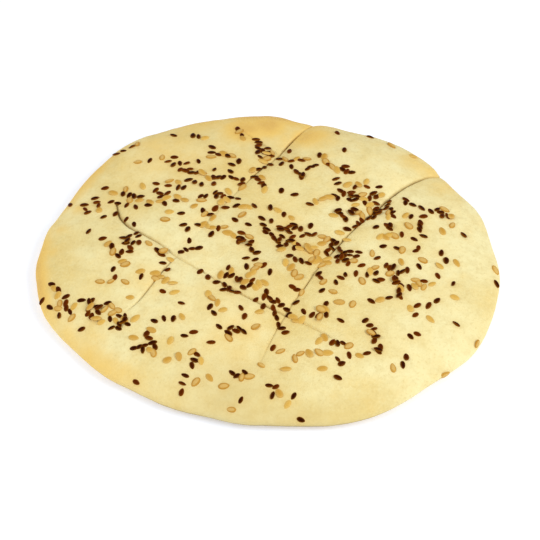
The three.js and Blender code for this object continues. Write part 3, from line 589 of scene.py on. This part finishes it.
def along_rim(plan, crust, stretches, spots):
    """How much of a shade the crust has: for each stretch of the rim, a bell curve of the
    bearing times a smooth fall with the distance in from the outline, and the spots."""
    bearing = np.arctan2(plan[:, 1], plan[:, 0])
    inward = crust.outline(bearing) - np.hypot(*plan.T)
    shade = spotted(plan, spots)
    for centre, spread, reach, strength in stretches:
        band = 1 - smooth(0, reach * MM * RIM_EASE, inward)
        shade = np.maximum(shade, strength * bell(turned(bearing, centre), spread) * band)
    return shade


def spotted(plan, spots):
    """How much of a spot is at each place: the highest of the bell curves of the distance."""
    strengths = [strength * bell(np.hypot(*(plan / MM - (x, y)).T), spread)
                 for x, y, spread, strength in spots]
    return np.max(strengths, axis=0)


def oil_and_shade_round_seeds(plan, seeds):
    """How dark a halo the crust has round each seed, partly oil that it took up and partly painted
    shade: the sum of the bell curves of the distance from each seed, at most one."""
    stained_and_shaded = np.zeros(len(plan))
    for seed in seeds:
        stained_and_shaded += bell(np.hypot(*(plan / MM - seed[:2]).T), SEED_HALO_SPREAD)
    return np.minimum(stained_and_shaded, 1)


def ring_quads(rings):
    """The faces between rings of places, each ring closed on itself."""
    following = np.roll(rings, -1, axis=1)
    quads = np.stack([rings[:-1], rings[1:], following[1:], following[:-1]], -1)
    return quads.reshape(-1, 4)


def fan(ring, middle):
    """The triangles from the last of some rings to a place in its middle. Read backwards, they
    are those of the first ring."""
    return np.stack([ring, np.full(len(ring), middle), np.roll(ring, -1)], -1)


def make_piece(name, places, quads, triangles, fields, material):
    """A finished mesh object from whole arrays, shaded smooth, with its fields as attributes."""
    mesh = bpy.data.meshes.new(name)
    mesh.from_pydata(places.tolist(), [], quads.tolist() + triangles.tolist())
    for field, values in fields.items():
        attribute = mesh.attributes.new(field, "FLOAT", "POINT")
        attribute.data.foreach_set("value", values.astype(np.float32))
    if mesh.validate():
        raise RuntimeError(f"{name} has faces that don't fit together")
    mesh.shade_smooth()
    mesh.materials.append(material)
    piece = bpy.data.objects.new(name, mesh)
    bpy.context.scene.collection.objects.link(piece)
    return piece


def shift_to_solid(places):
    """How far the loaf's own middle is from the solid's, on the plan."""
    middle = np.mean(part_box("flatbread"), axis=0)
    return (middle - (places.min(0) + places.max(0)) / 2) * (1, 1, 0)


def loaf_grid(crust, cells, seeds):
    """The crust's places, squares, triangles and fields. The upper grid runs over the rim to
    the foot, and rings from its edge close the underside to a point in the middle."""
    disc = draw_to_scores(disc_from_square(cells) * crust.way, crust)
    walked = np.minimum(np.hypot(*disc.T), crust.way)
    bearing = np.arctan2(disc[:, 1], disc[:, 0])
    places, line_shade = crust.places(walked, bearing)
    index = np.arange((cells + 1) ** 2).reshape(cells + 1, cells + 1)
    upper = np.stack([index[:-1, :-1], index[:-1, 1:], index[1:, 1:], index[1:, :-1]], -1)
    edge = np.concatenate([index[0, :-1], index[:-1, -1], index[-1, :0:-1], index[:0:-1, 0]])
    places[edge, 2] = 0
    shares = np.linspace(0.9, 0.1, 9)
    inner = (places[edge] * shares[:, None, None]).reshape(-1, 3)
    middle = len(places) + len(inner)
    rings = np.vstack([edge, np.arange(len(places), middle).reshape(len(shares), -1)])
    whole = np.vstack([places, inner, np.zeros((1, 3))])
    plan = whole[:, :2]
    below = np.zeros(len(whole) - len(places))  # nothing, at the places of the underside
    turn = np.concatenate([np.interp(walked, crust.walked, crust.turn) / math.pi, below + 1])
    centre, spread = CONTACT_SHADE_FRONT
    front = bell(turned(np.concatenate([bearing, below]), centre), spread)
    fields = {
        "browned": along_rim(plan, crust, BROWNED, BROWNED_SPOTS),
        # pale: partly the dough's own paler tone, partly painted light on the right.
        "pale": spotted(plan, PALE_AND_LIT_SPOTS),
        # dull: painted shade on the rim and in spots, partly the crust's own duller tone.
        "dull": along_rim(plan, crust, PAINTED_RIM_SHADE, DULL_AND_SHADED_SPOTS),
        # oiled: a halo round each seed, partly oil stain, partly painted shade.
        "oiled": oil_and_shade_round_seeds(plan, seeds),
        # knife: painted shade at the bottom of the knife's lines.
        "knife": np.concatenate([line_shade, below]),
        "underside": smooth(*UNDERSIDE_COMES, turn),
        # foot: painted contact shadow on the front, in a band where the rim turns under.
        "foot": front * (smooth(*CONTACT_SHADE_COMES, turn) - smooth(*CONTACT_SHADE_GOES, turn)),
    }
    quads = np.vstack([upper.reshape(-1, 4), ring_quads(rings)])
    return whole, quads, fan(rings[-1], middle), fields


def seeded_draw(start):
    """Numbers from 0 to 1, each the last times 48271, in the remainders of two to the 31st
    less one."""
    state = start
    while True:
        state = state * 48271 % 2147483647
        yield state / 2147483647


def strew_seeds(sizes):
    """Where the seeds fell, one row each: x and y in millimetres, turn, size, whether it is
    golden, and how many seeds it lies on. They lie evenly along their trail and are scattered
    to its sides, and one that falls on another rolls further off."""
    draw = seeded_draw(SEED_START)
    rows = []
    for from_x, from_y, to_x, to_y, spread, brown, golden in TRAILS:
        count = brown + golden
        for i in range(count):
            is_golden = (i + 1) * golden // count > i * golden // count
            turn, size = 2 * math.pi * next(draw), 1 + sizes.spread * (next(draw) - 0.5)
            size *= sizes.golden if is_golden else 1
            along = i / (count - 1)
            for attempt in range(1, SEED_TRIES + 1):
                x = from_x + (to_x - from_x) * along
                x += attempt * spread * (next(draw) + next(draw) - 1)
                y = from_y + (to_y - from_y) * along
                y += attempt * spread * (next(draw) + next(draw) - 1)
                under = sum(math.hypot(row[0] - x, row[1] - y) < SEED_ROOM for row in rows)
                if not under:
                    break
            rows.append((x, y, turn, size, is_golden, under))
    return np.array(rows, float)


def seed_shape(sizes, rim):
    """One seed about the origin, with its length along X, and how far into its thin rim each
    place is. Its half width goes with the root of the way from the blunt end times a power of
    the way to the pointed end, and each ring is an ellipse whose edges are drawn thin. The
    rim's share is a power of the way out to an edge, or a higher power of that to a tip."""
    along = (1 - np.cos(math.pi * np.arange(1, SEED_RINGS) / SEED_RINGS)) / 2
    around = 2 * math.pi * np.arange(SEED_SIDES) / SEED_SIDES
    plump = along**0.5 * (1 - along) ** 0.62
    body = along**0.5 * (1 - along) ** 0.7
    half_width = sizes.width / 2 * plump / plump.max()
    half_height = sizes.thickness / 2 * body / body.max()
    lens = np.sin(around) * np.abs(np.sin(around)) ** 0.3
    x = np.repeat(along - 0.5, SEED_SIDES) * sizes.length
    y = np.outer(half_width, np.cos(around)).ravel()
    z = np.outer(half_height, lens).ravel()
    ends = np.array([[-sizes.length / 2, 0, 0], [sizes.length / 2, 0, 0]])
    places = np.vstack([np.stack([x, y, z], -1), ends])
    index = np.arange(len(x)).reshape(-1, SEED_SIDES)
    fans = np.vstack([fan(index[0], len(x))[:, ::-1], fan(index[-1], len(x) + 1)])
    sharp = np.abs(np.cos(around)) ** rim
    tip = np.abs(2 * along - 1)[:, None] ** (rim + 2)
    edge = np.concatenate([(1 - (1 - sharp) * (1 - tip)).ravel(), [1, 1]])
    return places, ring_quads(index), fans, edge


def turn_matrices(up, turn, roll, pitch):
    """For each seed the matrix that lays it on the crust: Z goes to up, then it is turned
    about up, and rolled and pitched a little."""
    x_axis = np.stack([np.cos(turn), np.sin(turn), np.zeros(len(turn))], -1)
    x_axis -= up * np.sum(x_axis * up, axis=1, keepdims=True)
    x_axis /= np.linalg.norm(x_axis, axis=1, keepdims=True)
    y_axis = np.cross(up, x_axis)
    x_lean = x_axis * np.cos(pitch)[:, None] + up * np.sin(pitch)[:, None]
    z_lean = np.cross(x_lean, y_axis)
    y_roll = y_axis * np.cos(roll)[:, None] + z_lean * np.sin(roll)[:, None]
    z_roll = np.cross(x_lean, y_roll)
    return np.stack([x_lean, y_roll, z_roll], -1)


def lay_seeds(name, seeds, crust, sizes, shift, rim, material):
    """One piece of all the seeds of a kind: the seed's shape times each seed's size, with the
    golden ones a little wider, times its matrix, and moved to its seat on the crust."""
    places, quads, fans, edge = seed_shape(sizes, rim)
    random = np.random.default_rng(len(seeds))
    count = len(seeds)
    x, y, turn, size, golden, under = seeds.T
    askew = np.where(under, PILED_ROLL, ROLL)
    lift = np.where(under, PILED_LIFT * sizes.thickness, sizes.lift)
    seat, up = crust.seat(np.stack([x, y], -1) * MM)
    roll, pitch = random.normal(0, 1, count) * askew, random.normal(0, PITCH, count) * askew
    matrices = turn_matrices(up, turn, roll, pitch)
    shapes = random.normal(1, SEED_VARIETY, (count, 3)) * size[:, None]
    shapes[:, 1] *= np.where(golden, sizes.plump, 1)
    laid = np.einsum("nij,nvj->nvi", matrices, places[None] * shapes[:, None])
    whole = laid + (seat + up * lift[:, None] + shift)[:, None]
    offset = (np.arange(count) * len(places))[:, None, None]
    fields = {
        "tint": np.repeat(random.uniform(0, 1, count), len(places)),
        "rind": np.tile(edge, count),
    }
    return make_piece(
        name, whole.reshape(-1, 3), (quads[None] + offset).reshape(-1, 4),
        (fans[None] + offset).reshape(-1, 3), fields, material)


class Value:
    """A socket's value inside a material, on which Python's operators add Math nodes."""

    def __init__(self, finish, socket):
        self.finish, self.socket = finish, socket

    def math(self, operation, *others):
        """A Math node of this value and others."""
        inputs = dict(enumerate((self, *others)))
        return self.finish.node("ShaderNodeMath", {"operation": operation}, inputs)

    def __add__(self, other):
        return self.math("ADD", other)

    def __mul__(self, other):
        return self.math("MULTIPLY", other)

    def __sub__(self, other):
        return self.math("SUBTRACT", other)

    def __rsub__(self, other):
        return self.math("MULTIPLY", -1).math("ADD", other)

    def __pow__(self, other):
        return self.math("POWER", other)

    __radd__, __rmul__ = __add__, __mul__

    def between(self, low, high):
        """The smooth share of the way from low to high, held between nothing and one."""
        settings = {"interpolation_type": "SMOOTHSTEP"}
        inputs = {"Value": self, "From Min": low, "From Max": high}
        return self.finish.node("ShaderNodeMapRange", settings, inputs)


class Finish:
    """A material that is being put together."""

    def __init__(self, name):
        self.material = bpy.data.materials.new(name)
        self.material.use_nodes = True
        self.tree = self.material.node_tree
        self.surface = self.tree.nodes["Principled BSDF"]
        self.object = self.node("ShaderNodeTexCoord", out="Object")

    def node(self, kind, settings=None, inputs=None, out=0):
        """Adds a node of a kind, with its settings first and then its sockets' values or
        links, and gives its output."""
        node = self.tree.nodes.new(kind)
        for name, value in (settings or {}).items():
            setattr(node, name, value)
        for name, value in (inputs or {}).items():
            self.plug(node.inputs[name], value)
        return Value(self, node.outputs[out])

    def plug(self, socket, value):
        """Links a value to a socket, or sets the socket to a colour or a number."""
        if isinstance(value, Value):
            self.tree.links.new(value.socket, socket)
        elif socket.type == "RGBA":
            socket.default_value = (*value, 1)
        else:
            socket.default_value = value

    def layered(self, base, layers):
        """A colour under layers, each a share and a colour that a Mix node lays over the rest."""
        for share, colour_over in layers:
            inputs = {0: share, 6: base, 7: colour_over}
            base = self.node("ShaderNodeMix", {"data_type": "RGBA"}, inputs, out=2)
        return base

    def noise(self, size, detail=3, roughness=0.5):
        """Noise whose blobs are about a size across."""
        inputs = {
            "Vector": self.object, "Scale": 1 / size, "Detail": detail, "Roughness": roughness}
        return self.node("ShaderNodeTexNoise", None, inputs)

    def field(self, name):
        """One of the mesh's own fields."""
        return self.node("ShaderNodeAttribute", {"attribute_name": name}, out="Fac")

    def bump(self, height, distance, strength):
        """A Bump node of a height field, in metres."""
        inputs = {"Height": height, "Distance": distance, "Strength": strength}
        return self.node("ShaderNodeBump", None, inputs, out="Normal")

    def finish(self, **sockets):
        """Sets the shader's own sockets, with underscores for spaces, and gives the material."""
        for name, value in sockets.items():
            self.plug(self.surface.inputs[name.replace("_", " ")], value)
        return self.material


def crust_finish(colours):
    """Baked dough: cream with paler and tanner clouds, browned along the rim, finely pitted
    and mottled, darker in the knife's lines and browner underneath. Some of it is painted light
    and shade: painted shade in duller patches, round the seeds, in the knife's lines and at the
    front of the foot, and painted light in part of the paler patches."""
    crust = Finish("baked crust")
    clouds = crust.noise(46 * MM)
    patches = crust.noise(15 * MM, detail=4, roughness=0.6)
    mottle = crust.noise(6 * MM, detail=5, roughness=0.65)
    flecks = crust.noise(1.6 * MM, roughness=0.6)
    pits = crust.noise(0.8 * MM, detail=2)
    browned = crust.field("browned") * (0.6 + 0.8 * patches)
    dull_and_shaded = crust.field("dull") * (0.4 + 1.2 * patches)
    # The pale field is partly painted light, on the right where the key light falls.
    pale = crust.field("pale")
    baked = crust.layered(colours.tan, [(mottle.between(0.3, 0.75), colours.brown)])
    healed = crust.noise(9 * MM, detail=2).between(0.25, 0.55) * 0.6 + 0.4
    base = crust.layered(colours.pale, (
        (clouds.between(0.35, 0.7) - pale * 0.7, colours.cream),
        (patches.between(0.4, 0.66) * (0.24 - pale * 0.12), colours.tan),
        (mottle.between(0.42, 0.7) * 0.28, colours.dull),
        (flecks.between(0.52, 0.72) * 0.33, colours.dull),
        (flecks.between(0.5, 0.28) * 0.33, colours.pale),
        # Painted shade, with some of the crust's own duller tone, where the dull field says.
        (dull_and_shaded * 0.7, colours.dull),
        (browned.between(0.02, 0.7), colours.tan),
        (browned.between(0.5, 1.25) * 0.8, colours.brown),
        # Partly oil stain, partly painted shade round the seeds.
        (crust.field("oiled") * 0.27, colours.stain_and_shade),
        (crust.field("underside") * 0.85, baked),
        # Painted contact shadow along the front of the foot.
        (crust.field("foot"), colours.foot),
        # Painted shade in the knife's lines, where the narrow cut is in shade.
        (crust.field("knife") ** 0.7 * healed, colours.cut),
    ))
    height = mottle * 0.5 + flecks * 0.35 + pits * 0.15
    return crust.finish(
        Base_Color=base,
        Roughness=0.58 + 0.2 * mottle,
        Specular_IOR_Level=0.25,
        Normal=crust.bump(height, 0.75 * MM, 1),
    )


def seed_finish(name, dark, light, rarity, edge, lit_edge_share, spots, lit_middle):
    """A flax seed's smooth, glossy coat, with fine spots on it and a rim of another shade where
    the seed is thin, painted lighter as light shining through it. Each seed has its own shade, and
    a greater rarity makes fewer light ones. As lit_middle grows, the darker seeds have the rim's
    lighter shade in their middle instead, painted light shining through the middle."""
    seed = Finish(name)
    tint = seed.field("tint")
    rind = seed.field("rind")
    grain = seed.noise(0.9 * MM)
    lit = tint.between(0.5, 0.35) * lit_middle
    base = seed.layered(dark, (
        (tint ** rarity, light),
        ((1 - rind).between(0.4, 0.9) * lit, edge),
        (grain.between(0.45, 0.7) * 0.25, spots),
        (rind * (1 - lit) * lit_edge_share, edge),
    ))
    return seed.finish(
        Base_Color=base,
        Roughness=0.36 + 0.16 * grain,
        Specular_IOR_Level=0.04,
        Specular_Tint=(1, 0.7, 0.45),
        Normal=seed.bump(grain, 0.06 * MM, 0.3),
    )


class FLATBREAD_OT_loaf(Operator):
    """Build the loaf's crust over the packed solid"""

    bl_idname = "flatbread.loaf"
    bl_label = "Loaf"

    def execute(self, context):
        scene = context.scene
        crust = Crust(scene.flatbread_loaf)
        seeds = strew_seeds(scene.flatbread_seeds)
        places, *faces, fields = loaf_grid(crust, scene.flatbread_loaf.cells, seeds)
        material = crust_finish(scene.flatbread_colours)
        piece = make_piece("crust", places + shift_to_solid(places), *faces, fields, material)
        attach(piece, "root")
        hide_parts("flatbread")
        return {"FINISHED"}


class FLATBREAD_OT_seeds(Operator):
    """Strew the brown and the golden flax seeds over the crust"""

    bl_idname = "flatbread.seeds"
    bl_label = "Flax seeds"

    def execute(self, context):
        scene = context.scene
        sizes, colours = scene.flatbread_seeds, scene.flatbread_colours
        crust = Crust(scene.flatbread_loaf)
        shift = shift_to_solid(crust.rim())
        seeds = strew_seeds(sizes)
        golden = seeds[:, 4] > 0
        brown_coat = seed_finish(
            "brown seed coat", colours.brown_seed, colours.red_seed, rarity=2.6,
            edge=colours.tan_lit_edge, lit_edge_share=0.7, spots=colours.red_seed, lit_middle=0)
        golden_coat = seed_finish(
            "golden seed coat", colours.golden_seed, colours.pale_seed, rarity=1.2,
            edge=colours.pale_lit_edge, lit_edge_share=0.5, spots=colours.amber, lit_middle=0.55)
        for name, slot, rows, rim, coat in (
            ("brown_seeds", "brown_seed", seeds[~golden], 4, brown_coat),
            ("golden_seeds", "golden_seed", seeds[golden], 2, golden_coat),
        ):
            piece = lay_seeds(name, rows, crust, sizes, shift, rim, coat)
            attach(piece, "root")
        return {"FINISHED"}


def add_light(name, power, size, place):
    """A square soft light that faces the loaf."""
    data = bpy.data.lights.new(name, "AREA")
    data.energy, data.size = power, size
    light = bpy.data.objects.new(name, data)
    light.location = place
    light.rotation_euler = (-Vector(place)).to_track_quat("-Z", "Y").to_euler()
    bpy.context.scene.collection.objects.link(light)


def add_floor():
    """A round white floor just under the loaf, lit a little from beneath."""
    bearing = np.linspace(0, 2 * math.pi, 96, endpoint=False)
    radii, level = np.array([0.2, 0.6, 1.5, 4])[:, None], -0.1 * MM
    x, y = (radii * np.cos(bearing)).ravel(), (radii * np.sin(bearing)).ravel()
    places = np.vstack([np.stack([x, y, np.full(len(x), level)], -1), [0, 0, level]])
    index = np.arange(len(x)).reshape(len(radii), -1)
    paper = Finish("white floor")
    fibre = paper.noise(3 * MM, detail=4) * 0.3
    material = paper.finish(
        Base_Color=paper.layered(srgb(220, 224, 234), [(fibre, srgb(214, 219, 230))]),
        Roughness=0.8,
        Emission_Color=srgb(250, 252, 255),
        Emission_Strength=0.37,
    )
    middle = fan(index[0], len(x))[:, ::-1]
    make_piece("floor", places, ring_quads(index), middle, {}, material)


class FLATBREAD_OT_stage(Operator):
    """Set the floor, the soft lights and the camera"""

    bl_idname = "flatbread.stage"
    bl_label = "Stage"

    def execute(self, context):
        scene, studio = context.scene, context.scene.flatbread_studio
        add_floor()
        add_light("key", studio.key, 1.1, (1.4, -0.6, 1.2))
        add_light("fill", studio.fill, 1.1, (-1.3, -0.4, 1.2))
        world = bpy.data.worlds.new("white room")
        world.use_nodes = True
        background = world.node_tree.nodes["Background"]
        background.inputs["Color"].default_value = (1, 1, 1, 1)
        background.inputs["Strength"].default_value = studio.surround
        scene.world = world
        scene.view_settings.view_transform = "Standard"
        frame_width = 302.6 * MM  # width of the view at the loaf
        aim = Vector((1.35 * MM, 0.35 * MM, 0))
        back = Vector((0, -math.cos(studio.elevation), math.sin(studio.elevation)))
        data = bpy.data.cameras.new("camera")
        data.lens = data.sensor_width * studio.distance / frame_width
        data.clip_start, data.clip_end = 0.05, 50
        camera = bpy.data.objects.new("camera", data)
        camera.location = aim + back * studio.distance
        camera.rotation_euler = (-back).to_track_quat("-Z", "Y").to_euler()
        scene.collection.objects.link(camera)
        scene.camera = camera
        return {"FINISHED"}


class FLATBREAD_PT_panel(Panel):
    """Lists the flatbread's sizes, colours and operators"""

    bl_idname = "FLATBREAD_PT_panel"
    bl_label = "Flaxseed Flatbread"
    bl_space_type = "VIEW_3D"
    bl_region_type = "UI"
    bl_category = "Flatbread"

    def draw(self, context):
        layout = self.layout
        for group in GROUPS:
            box = layout.box()
            box.label(text=group.__doc__)
            for name in group.__annotations__:
                box.prop(getattr(context.scene, GROUPS[group]), name)
        for operator in OPERATORS:
            layout.operator(operator.bl_idname)


GROUPS = {
    FlatbreadLoaf: "flatbread_loaf",
    FlatbreadSeeds: "flatbread_seeds",
    FlatbreadColours: "flatbread_colours",
    FlatbreadStudio: "flatbread_studio",
}
OPERATORS = (FLATBREAD_OT_loaf, FLATBREAD_OT_seeds, FLATBREAD_OT_stage)


def register():
    """Makes the groups, the operators and the panel known to Blender."""
    for group, name in GROUPS.items():
        bpy.utils.register_class(group)
        setattr(bpy.types.Scene, name, PointerProperty(type=group))
    for cls in (*OPERATORS, FLATBREAD_PT_panel):
        bpy.utils.register_class(cls)


def unregister():
    """Takes back what register made known."""
    for cls in (FLATBREAD_PT_panel, *reversed(OPERATORS)):
        bpy.utils.unregister_class(cls)
    for group, name in GROUPS.items():
        delattr(bpy.types.Scene, name)
        bpy.utils.unregister_class(group)


def main():
    """Builds the flatbread and its stage."""
    register()
    bpy.ops.flatbread.loaf()
    bpy.ops.flatbread.seeds()
    bpy.ops.flatbread.stage()


if __name__ == "__main__":
    main()
